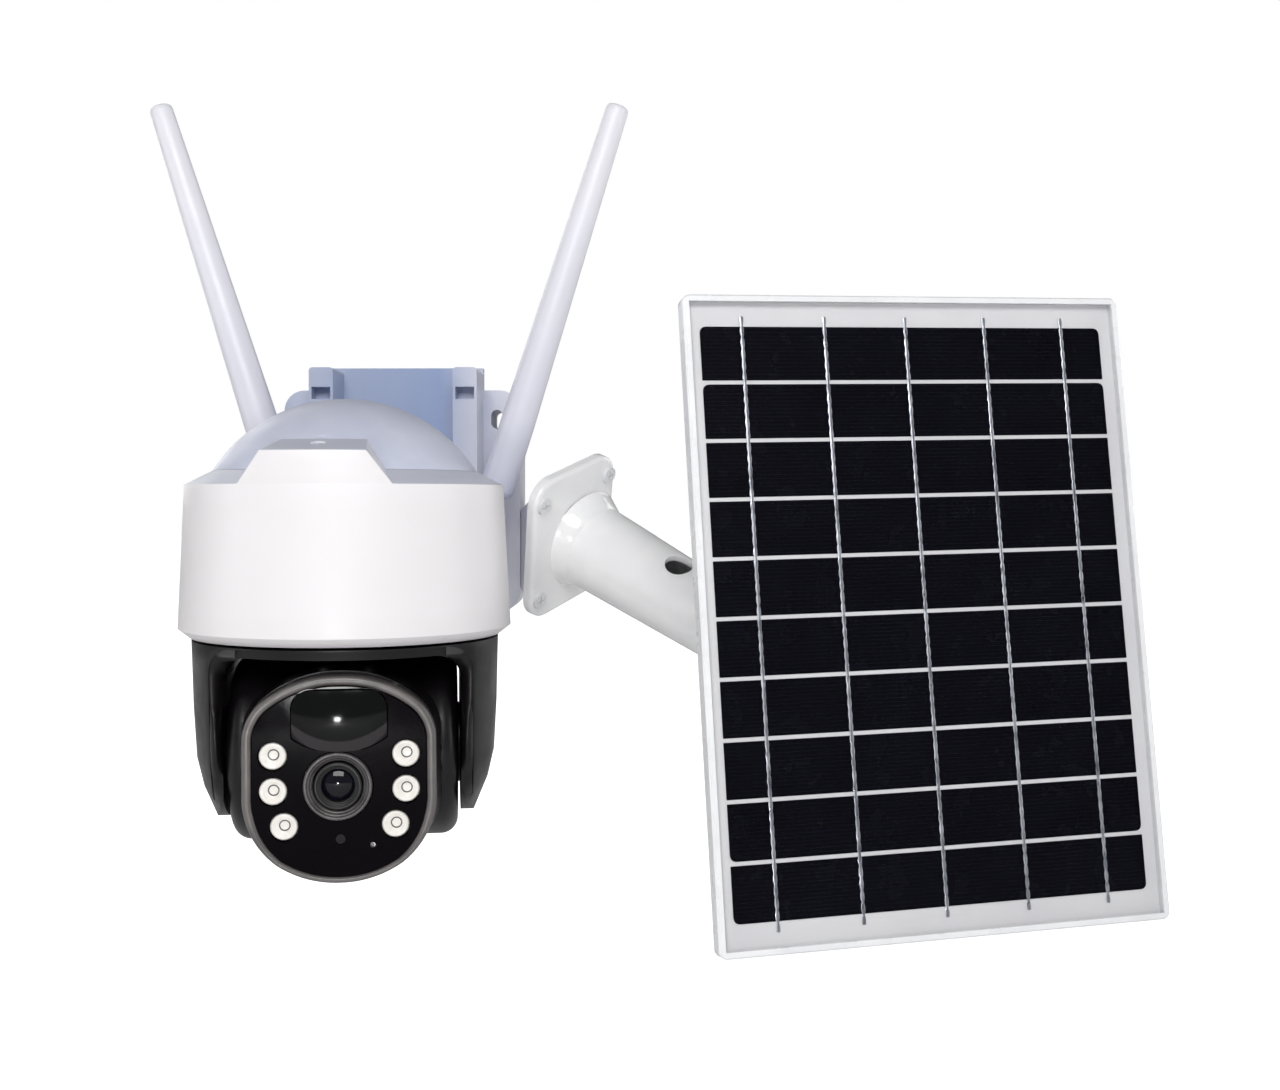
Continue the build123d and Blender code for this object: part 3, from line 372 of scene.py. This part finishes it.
# ---- mesh helpers: local millimetres, X right, Z up, the visible side towards -Y ------------------
def put(name, mesh, place, body, finish, *replaced, sharp=38):
    """Seats a mesh made in local millimetres on its body, with its finish."""
    mesh.transform(Matrix.Scale(MM, 4))
    mesh.name = name
    mesh.materials.append(MATERIALS[finish])
    mesh.shade_smooth()
    mesh.set_sharp_from_angle(angle=radians(sharp))
    piece = bpy.data.objects.new(name, mesh)
    piece.matrix_world = place
    bpy.context.scene.collection.objects.link(piece)
    if replaced:
        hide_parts(*replaced)
    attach(piece, body)
    return piece


def from_bmesh(bm):
    """The finished mesh, its faces turned outwards."""
    bmesh.ops.recalc_face_normals(bm, faces=bm.faces)
    mesh = bpy.data.meshes.new("part")
    bm.to_mesh(mesh)
    bm.free()
    return mesh


def skin(bm, rings, count):
    """Faces between each ring of vertices and the next. A ring of one vertex closes an end."""
    for first, second in zip(rings, rings[1:]):
        for k in range(count):
            corners = [first[k % len(first)], first[(k + 1) % len(first)],
                       second[(k + 1) % len(second)], second[k % len(second)]]
            bm.faces.new(list(dict.fromkeys(corners)))


def sweep(bm, sections):
    """Faces along a run of equal sections of vertices, and a cap on each end."""
    skin(bm, sections, len(sections[0]))
    bm.faces.new(sections[0])
    bm.faces.new(list(reversed(sections[-1])))


def rounded(points, reach, closed=False, steps=4):
    """The same outline with each corner turned over by a short arc that starts reach before it."""
    result = [] if closed else [points[0]]
    inner = range(len(points)) if closed else range(1, len(points) - 1)
    for k in inner:
        before, corner, after = (Vector(points[(k + d) % len(points)]) for d in (-1, 0, 1))
        start = corner + (before - corner) * min(0.45, reach / max((before - corner).length, 1e-6))
        end = corner + (after - corner) * min(0.45, reach / max((after - corner).length, 1e-6))
        for step in range(steps + 1):
            t = step / steps
            result.append(tuple(start * (1 - t) ** 2 + corner * (2 * t * (1 - t)) + end * t ** 2))
    return result if closed else result + [points[-1]]


def circle(at, r, sides=64):
    """Points round a circle, starting at its right."""
    angles = [2 * pi * k / sides for k in range(sides)]
    return [(at[0] + r * cos(angle), at[1] + r * sin(angle)) for angle in angles]


def lathe(profile, at=(0.0, 0.0), closed=False, sides=96):
    """A solid turned about Y from (radius, y) points, its axis at (x, z)."""
    bm = bmesh.new()
    rings = []
    for r, y in profile:
        ring = circle(at, r, sides) if r > 0 else [at]
        rings.append([bm.verts.new((x, y, z)) for x, z in ring])
    skin(bm, rings + (rings[:1] if closed else []), sides)
    return from_bmesh(bm)


def plate(loops, y_back, y_front, edge, steps=3):
    """A flat moulding with rounded edges: the first outline is its rim, the others are holes."""
    curve = bpy.data.curves.new("outline", "CURVE")
    curve.dimensions, curve.fill_mode = "2D", "BOTH"
    curve.extrude = (y_back - y_front) / 2 - edge
    curve.bevel_depth, curve.offset, curve.bevel_resolution = edge, -edge, steps
    for loop in loops:
        spline = curve.splines.new("POLY")
        spline.points.add(len(loop) - 1)
        for point, (x, z) in zip(spline.points, loop):
            point.co = (x, z, 0, 1)
        spline.use_cyclic_u = True
    holder = bpy.data.objects.new("outline", curve)
    bpy.context.scene.collection.objects.link(holder)
    graph = bpy.context.evaluated_depsgraph_get()
    mesh = bpy.data.meshes.new_from_object(holder.evaluated_get(graph), depsgraph=graph)
    bpy.data.objects.remove(holder)
    mesh.transform(Matrix.Translation((0, (y_back + y_front) / 2, 0)) @ Matrix.Rotation(radians(90), 4, "X"))
    bm = bmesh.new()
    bm.from_mesh(mesh)
    bmesh.ops.remove_doubles(bm, verts=bm.verts, dist=0.004)
    return from_bmesh(bm)


def joined(meshes):
    """One mesh that holds several."""
    bm = bmesh.new()
    for mesh in meshes:
        bm.from_mesh(mesh)
    return from_bmesh(bm)


def arc_through(a, b, c, steps=12):
    """Points on the circle through three points, from a to c."""
    (ax, az), (bx, bz), (cx, cz) = a, b, c
    a2, b2, c2 = ax * ax + az * az, bx * bx + bz * bz, cx * cx + cz * cz
    d = 2 * (ax * (bz - cz) + bx * (cz - az) + cx * (az - bz))
    ux = (a2 * (bz - cz) + b2 * (cz - az) + c2 * (az - bz)) / d
    uz = (a2 * (cx - bx) + b2 * (ax - cx) + c2 * (bx - ax)) / d
    first, last = atan2(az - uz, ax - ux), atan2(cz - uz, cx - ux)
    turn = (last - first + pi) % (2 * pi) - pi
    r = hypot(ax - ux, az - uz)
    angles = [first + turn * k / steps for k in range(steps)]
    return [(ux + r * cos(angle), uz + r * sin(angle)) for angle in angles]


def shrunk(loop, inset):
    """The outline moved inwards, by a third less at the bottom where the rim is thinner."""
    thin_from, thin_over, thinning = -14, 16, 0.33
    result = []
    for k, here in enumerate(loop):
        before, after = Vector(loop[k - 1]), Vector(loop[(k + 1) % len(loop)])
        low = min(1.0, max(0.0, (thin_from - here[1]) / thin_over))
        along = (after - before).normalized() * (1 - thinning * low)
        result.append((here[0] + inset * along.y, here[1] - inset * along.x))
    return result


# ---- face ---------------------------------------------------------------------------------------
# Places and depths in millimetres from the face's centre, seen from the front.
LENS_AT = (-0.6, -3.4)
LED_AT = [(s * x, z) for s in (-1, 1) for x, z in ((21.8, 6.9), (21.8, -4.9), (18.3, -16.7))]
SENSOR_AT = (0.2, -21.2)
MIC_AT = (10.8, -23.4)
PIR_Z = 18.3
RIM_BACK, RIM_FRONT, RIM_W, RIM_ROUND = -40.0, -48.0, 3.15, 1.35
WINDOW_BACK, WINDOW_FRONT, WINDOW_INSET = -45.4, -47.6, 3.3
PIR_HOLE_LOW = -9.45        # the window's hole for the motion lens stops short of the camera lens


def face_line():
    """The face's outline, clockwise from the top: a broad arch, straight sides and a round chin."""
    half = (arc_through((0, 33.2), (15.4, 30.6), (24.5, 25.6))
            + arc_through((24.5, 25.6), (30.0, 19.3), (31.9, 11.5))
            + arc_through((31.9, -5), (29.2, -19.2), (20.6, -29.8))
            + arc_through((20.6, -29.8), (10.7, -34.5), (0, -36.0)) + [(0, -36.0)])
    return half + [(-x, z) for x, z in reversed(half[1:-1])]


def pir_line(grow):
    """The motion lens seen from the front, about its own centre: flat top, bowl-shaped bottom."""
    half, top, shoulder = 15.6 + grow, 10.4 + grow, 3.5
    right = ([(0, top), (5, top)] + arc_through((10, top), (half - 1.5, top - 2.2), (half, shoulder), 10)
             + [(half, shoulder), (half, -1.5)]
             + arc_through((half, -5.5), (8.2, -9.15 - grow), (0, -10.1 - grow), 14))
    return right + [(0, -10.1 - grow)] + [(-x, z) for x, z in reversed(right[1:])]


def face_rim():
    """The grey rim round the window, with a rounded section."""
    outline = face_line()
    mesh = plate([outline, shrunk(outline, RIM_W)], RIM_BACK, RIM_FRONT, RIM_ROUND, 5)
    put("face_rim", mesh, FACE_AT, "head", "rim_grey", "face_bezel")


def dark_window():
    """The glossy window, with softened holes for the lens, the motion lens and the lamps."""
    holes = [[(x, PIR_Z + max(z, PIR_HOLE_LOW)) for x, z in pir_line(0.2)], circle(LENS_AT, 11.6)]
    holes += [circle(at, 4.9) for at in LED_AT] + [circle(SENSOR_AT, 1.7, 32), circle(MIC_AT, 0.9, 24)]
    mesh = plate([shrunk(face_line(), WINDOW_INSET)] + holes, WINDOW_BACK, WINDOW_FRONT, 0.2, 2)
    put("dark_window", mesh, FACE_AT, "head", "window_black", "front_window", sharp=12)


def lamps():
    """White lamp faces with a raised collar round each emitter."""
    disc = rounded([(0, -41.0), (4.6, -41.0), (4.6, -46.3), (4.2, -46.9), (3.7, -47.0), (2.0, -46.5),
                    (0, -46.4)], 0.35)
    discs = joined([lathe(disc, at, sides=64) for at in LED_AT])
    put("lamp_discs", discs, FACE_AT, "head", "lamp_white", "led_cups")
    collar = rounded([(1.5, -46.3), (1.9, -46.3), (1.9, -46.75), (1.5, -46.75)], 0.1, closed=True)
    collars = joined([lathe(collar, (x + 0.3, z + 0.5), True, 40) for x, z in LED_AT])
    put("lamp_collars", collars, FACE_AT, "head", "lens_metal")


def motion_lens():
    """A domed dark lens, with a crease along which its lower part turns down like a smile."""
    outline = pir_line(0.0)
    dome_r, front, back, rings = 46.0, -51.2, -45.5, 26

    def depth(x, z):
        y = front + dome_r - sqrt(dome_r ** 2 - x * x - z * z)
        below = max(0.0, CREASE_Z + CREASE_BOW * x * x - z)
        return y + 0.42 * below - 0.16 * min(below, 0.8)

    bm = bmesh.new()
    grid = [[bm.verts.new((0, depth(0, 0), 0))]]
    for ring in range(1, rings + 1):
        t = ring / rings
        grid.append([bm.verts.new((x * t, depth(x * t, z * t), z * t)) for x, z in outline])
    edge = [bm.verts.new((v.co.x * 1.004, v.co.y + 0.5, v.co.z * 1.004)) for v in grid[-1]]
    wall = [bm.verts.new((v.co.x, back, v.co.z)) for v in edge]
    grid += [edge, wall, [bm.verts.new((0, back, 0))]]
    skin(bm, grid, len(outline))
    place = FACE_AT @ Matrix.Translation((0, 0, PIR_Z * MM))
    put("motion_lens", from_bmesh(bm), place, "head", "sensor_black", "pir_lens", sharp=24)


def camera_lens():
    """The stepped ring, the ribbed barrel inside it and the domed front element."""
    ring = rounded([(11.4, -43.2), (11.4, -48.5), (11.1, -49.0), (10.3, -49.0), (10.0, -48.3), (9.5, -48.2),
                    (9.1, -47.4), (8.7, -47.3), (8.3, -46.6), (8.3, -43.2)], 0.22, closed=True)
    put("lens_hood", lathe(ring, LENS_AT, True), FACE_AT, "head", "lens_metal", "lens_ring")
    ribs = [(7.9, -30.0), (7.9, -47.9), (7.5, -48.2), (7.0, -48.2)]
    for k in range(3):
        r = 6.9 - 0.45 * k
        ribs += [(r, -47.6 + 0.4 * k), (r - 0.3, -47.5 + 0.4 * k)]
    ribs += [(5.5, -46.2), (5.5, -30.0)]
    tube = lathe(rounded(ribs, 0.12, True), LENS_AT, True)
    put("lens_tube", tube, FACE_AT, "head", "holder_black", "lens_barrel")
    dome_r, dome_front, dome_angle, steps = 11, -46.4, 29, 14
    glass = [(0, -42.7), (5.4, -42.7), (5.4, -45.0)]
    for k in range(steps):
        angle = radians(dome_angle * (1 - k / steps))
        glass.append((dome_r * sin(angle), dome_front + dome_r * (1 - cos(angle))))
    glass.append((0, dome_front))
    put("front_element", lathe(glass, LENS_AT), FACE_AT, "head", "optic", "lens_glass")


# ---- visor --------------------------------------------------------------------------------------
# Millimetres about the pan axis, which is the housing's own centre line.
SHOULDER_Z, CROWN_Z = 6.0, 17.0
SKIRT_TOP_R, SKIRT_SLOPE = 56.4, 0.0515
CROWN_SCREW_R = 45.2


def sun_visor():
    """The white visor, its crown faired into the skirt so that the front is one clean cone."""
    mesh = NODES["visor"].data.copy()
    mesh.transform(Matrix.Scale(1 / MM, 4) @ BODY_AT.inverted())
    for vertex in mesh.vertices:
        x, y, z = vertex.co
        r = hypot(x, y)
        if SHOULDER_Z - 0.2 < z < CROWN_Z + 0.3 and r > SKIRT_TOP_R - 1:
            cone = SKIRT_TOP_R + (SHOULDER_Z - z) * SKIRT_SLOPE
            vertex.co = (x * cone / r, y * cone / r, z)
    bm = bmesh.new()
    bm.from_mesh(mesh)
    bmesh.ops.remove_doubles(bm, verts=bm.verts, dist=0.03)
    visor = put("sun_visor", from_bmesh(bm), BODY_AT, "housing", "white_gloss", "visor", sharp=30)
    soften(visor, 0.8)


def crown_plug():
    """The soft plug over the screw in the crown's top."""
    profile = rounded([(0, 1.9), (1.9, 1.75), (2.6, 1.2), (2.6, 0.0), (0, 0.0)], 0.4)
    seat = Matrix.Translation((0, -CROWN_SCREW_R * MM, (CROWN_Z + 0.75) * MM))
    upright = Matrix.Rotation(radians(90), 4, "X")
    put("crown_plug", lathe(profile, sides=48), BODY_AT @ seat @ upright, "housing", "dome_grey")


# ---- turret -------------------------------------------------------------------------------------
# Millimetres about the pan axis. The outline gives (height, outer radius) points down the arms.
YOKE_OUTLINE = ((-48.6, 54.4), (-72.0, 53.8), (-90.0, 52.8), (-100.0, 50.5), (-112.0, 45.5))
OPENING_HALF_W, OPENING_TOP, OPENING_CORNER_R = 40.4, -52.5, 9.0
OPENING_END_Z = -103.0      # the bevel runs down both arms to here
BEVEL_W = 4.25
BEVEL_BACK_R = 48.6
TONGUE_Z, TONGUE_DEPTH, TONGUE_H = -88.0, 34.0, 24.0    # the rounded lower ends of the arms
SWELL_Z, SWELL_HALF_H, SWELL = -83.0, 12.0, 5.0


def yoke_radius(z):
    """Outer radius of the turret's two arms at a height."""
    for (z0, r0), (z1, r1) in zip(YOKE_OUTLINE, YOKE_OUTLINE[1:]):
        if z >= z1:
            return r0 + (r1 - r0) * (z0 - z) / (z0 - z1)
    return YOKE_OUTLINE[-1][1]


def slot_line(grow):
    """The opening between the arms, seen from the front, from the left foot over to the right."""
    half, top, r = OPENING_HALF_W + grow, OPENING_TOP + 0.8 * grow, OPENING_CORNER_R
    side = [(half, OPENING_END_Z + k * (top - r - OPENING_END_Z) / 30) for k in range(30)]
    angles = [radians(90 * k / 14) for k in range(14)]
    turn = [(half - r + r * cos(angle), top - r + r * sin(angle)) for angle in angles]
    across = [((half - r) * (1 - k / 12), top) for k in range(13)]
    right = side + turn + across
    return [(-x, z) for x, z in right] + list(reversed(right[:-1]))


def yoke_edge():
    """The broad soft bevel round the turret's opening, which swells beside the tilt axis."""
    def depth(x, z, r):
        tongue = TONGUE_DEPTH * sqrt(max(0.0, 1 - (min(0.0, z - TONGUE_Z) / TONGUE_H) ** 2))
        return -min(sqrt(max(r * r - x * x, 0.0)), tongue - 0.05)

    bm = bmesh.new()
    sections = []
    for (x0, z0), (x1, z1) in zip(slot_line(0.0), slot_line(BEVEL_W)):
        beside_axis = max(0.0, 1 - ((z0 - SWELL_Z) / SWELL_HALF_H) ** 2)
        swell = SWELL * beside_axis if abs(x0) > OPENING_HALF_W - 2.4 else 0.0
        section = [(x1, depth(x1, z1, BEVEL_BACK_R), z1)]
        for k in range(7):
            t = k / 6
            x, z = x1 + (x0 - x1) * t, z1 + (z0 - z1) * t
            outer = yoke_radius(z)
            fall = (outer - BEVEL_BACK_R - 0.6) * t ** 1.35
            section.append((x, depth(x, z, outer - 0.15 - fall + swell * t * (1.15 - t)), z))
        section.append((x0, depth(x0, z0, BEVEL_BACK_R), z0))
        sections.append([bm.verts.new(point) for point in section])
    sweep(bm, sections)
    put("yoke_edge", from_bmesh(bm), TURRET_AT, "turret", "black_shell", sharp=50)


def pivot_washers():
    """A flat boss each side of the head, which fills the gap to the arm round the tilt axis."""
    bore_r, rim_r, near, far = 8.0, 14.5, 39.5, 40.34
    rings = []
    for side in (-1, 1):
        section = [(bore_r, side * near), (rim_r, side * near), (rim_r, side * far), (bore_r, side * far)]
        rings.append(lathe(rounded(section, 0.2, closed=True), closed=True))
    place = HEAD_AT @ Matrix.Rotation(radians(90), 4, "Z")
    put("pivot_washers", joined(rings), place, "turret", "black_shell")


# ---- panel --------------------------------------------------------------------------------------
# Millimetres in the panel's own frame.
CELL_W, CELL_H, CELL_GAP, ROWS = 156.75, 19.6, 1.465, 10
CELL_CORNER, ARRAY_CORNER = 0.3, 2.6
RIBBON_PITCH, RIBBONS, RIBBON_HALF_L = 31.35, 5, 108.3
BEAD_PITCH, RIBBON_STEPS = 4.2, 260


def cell_plates():
    """Ten dark cell strips. The ends of the array keep the softened corners of their wafers."""
    plates = []
    for row in range(ROWS):
        middle = ((ROWS - 1) / 2 - row) * (CELL_H + CELL_GAP)
        low, high = middle - CELL_H / 2, middle + CELL_H / 2
        half = CELL_W / 2
        corners = [((half, high), row < 2), ((half, low), row >= ROWS - 2),
                   ((-half, low), row >= ROWS - 2), ((-half, high), row < 2)]
        outline = []
        for k, (corner, soft) in enumerate(corners):
            before, after = corners[k - 1][0], corners[(k + 1) % 4][0]
            outline += rounded([before, corner, after], ARRAY_CORNER if soft else CELL_CORNER, steps=6)[1:-1]
        plates.append(plate([outline], 0.5, 0.2, 0.04, 0))
    put("cell_plates", joined(plates), PANEL_AT, "panel", "silicon", "solar_cells")


def ribbons():
    """Five tinned ribbons down the cells, beaded where they are soldered."""
    bm = bmesh.new()
    for k in range(RIBBONS):
        x = (k - (RIBBONS - 1) / 2) * RIBBON_PITCH
        sections = []
        for step in range(RIBBON_STEPS + 1):
            z = RIBBON_HALF_L * (2 * step / RIBBON_STEPS - 1)
            foot = 0.40 + 0.36 * abs(sin(pi * z / BEAD_PITCH)) ** 0.7
            top = 0.55 * foot
            section = ((x - foot, 0.19, z), (x - top, 0.05, z), (x + top, 0.05, z), (x + foot, 0.19, z))
            sections.append([bm.verts.new(point) for point in section])
        sweep(bm, sections)
    put("ribbons", from_bmesh(bm), PANEL_AT, "panel", "ribbon", "busbars")


# ---- stage, light and camera --------------------------------------------------------------------
# Each light's name, place, target, width and height in metres, and power in watts.
LIGHTS = (
    ("key", (0.10, -1.10, 0.50), (0.08, -0.12, -0.03), (0.70, 0.40), 6.8),
    ("fill_left", (-1.10, -0.50, 0.10), (0, -0.12, -0.05), (0.5, 0.9), 2.2),
    ("fill_right", (1.20, -0.30, 0.10), (0.1, -0.12, -0.05), (0.4, 0.9), 2.0),
    ("back_left", (-0.80, 0.90, 0.45), (0, -0.10, -0.05), (0.6, 0.9), 3.2),
    ("back_right", (1.10, 0.80, 0.30), (0.1, -0.10, -0.05), (0.6, 0.9), 3.2),
    ("under", (0.20, -0.55, -0.75), (0.06, -0.10, -0.05), (0.8, 0.5), 1.8),
    ("flash", (0.045, -0.80, -0.13), (0.02, -0.12, -0.08), (0.05, 0.04), 0.6),
)
SKY_LIGHT = 0.23            # strength of the sky where the camera doesn't see it
FLOOR_HALF_W, FLOOR_GAP = 6.0, 0.012
FLOOR_GLOW = 0.95           # keeps the floor as pale as the sky behind it

LENS_MM, SENSOR_MM = 41.43, 36.0
CAMERA_AT = (0.11226, -0.67477, 0.001)
CAMERA_DOWN, CAMERA_LEFT = 1.79, 0.65       # degrees from level and from straight ahead


def area_light(name, place, target, size, power):
    data = bpy.data.lights.new(name, "AREA")
    data.shape = "RECTANGLE"
    data.size, data.size_y = size
    data.energy = power
    light = bpy.data.objects.new(name, data)
    light.location = place
    aim = Vector(target) - Vector(place)
    light.rotation_euler = aim.to_track_quat("-Z", "Y").to_euler()
    bpy.context.scene.collection.objects.link(light)


def floor():
    """A plain pale sweep under the object, far wider than the view."""
    mesh = bpy.data.meshes.new("floor")
    half, height = FLOOR_HALF_W, cad_box[0][2] - FLOOR_GAP
    corners = [(-half, -half, height), (half, -half, height), (half, half, height), (-half, half, height)]
    mesh.from_pydata(corners, [], [(0, 1, 2, 3)])
    thing = bpy.data.objects.new("floor", mesh)
    bpy.context.scene.collection.objects.link(thing)
    n = Nodes("floor_pale")
    path = n.add("LightPath")
    n.link(n.ramp(n.noise(400.0, 2.0), [(0.3, tone(244, 244, 244)), (0.7, tone(248, 248, 248))]),
           n.shader.inputs["Base Color"])
    n.link(n.remap(path.outputs["Is Camera Ray"], 0.0, 1.0, 0.0, FLOOR_GLOW),
           n.shader.inputs["Emission Strength"])
    n.set(Roughness=0.9, Emission_Color=(1.0, 1.0, 1.0, 1.0))
    mesh.materials.append(n.material)


def studio():
    """A white sky, dim except where the camera sees it, and soft area lights."""
    world = bpy.data.worlds.new("studio")
    world.use_nodes = True
    tree = world.node_tree
    sky = tree.nodes["Background"]
    sky.inputs["Color"].default_value = (1.0, 1.0, 1.0, 1.0)
    path = tree.nodes.new("ShaderNodeLightPath")
    level = tree.nodes.new("ShaderNodeMapRange")
    level.inputs["To Min"].default_value = SKY_LIGHT
    level.inputs["To Max"].default_value = 1.0
    tree.links.new(path.outputs["Is Camera Ray"], level.inputs["Value"])
    tree.links.new(level.outputs["Result"], sky.inputs["Strength"])
    bpy.context.scene.world = world
    bpy.context.scene.view_settings.view_transform = "Standard"
    for light in LIGHTS:
        area_light(*light)


def camera():
    """At the bracket's height, in front of the gap between housing and panel, looking slightly down."""
    data = bpy.data.cameras.new("camera")
    data.sensor_width = SENSOR_MM
    data.lens = LENS_MM
    view = bpy.data.objects.new("camera", data)
    view.location = CAMERA_AT
    view.rotation_euler = (radians(90 - CAMERA_DOWN), 0, radians(CAMERA_LEFT))
    bpy.context.scene.collection.objects.link(view)
    bpy.context.scene.camera = view


dress_cad_nodes()
sun_visor()
crown_plug()
face_rim()
dark_window()
lamps()
motion_lens()
camera_lens()
yoke_edge()
pivot_washers()
cell_plates()
ribbons()
floor()
studio()
camera()
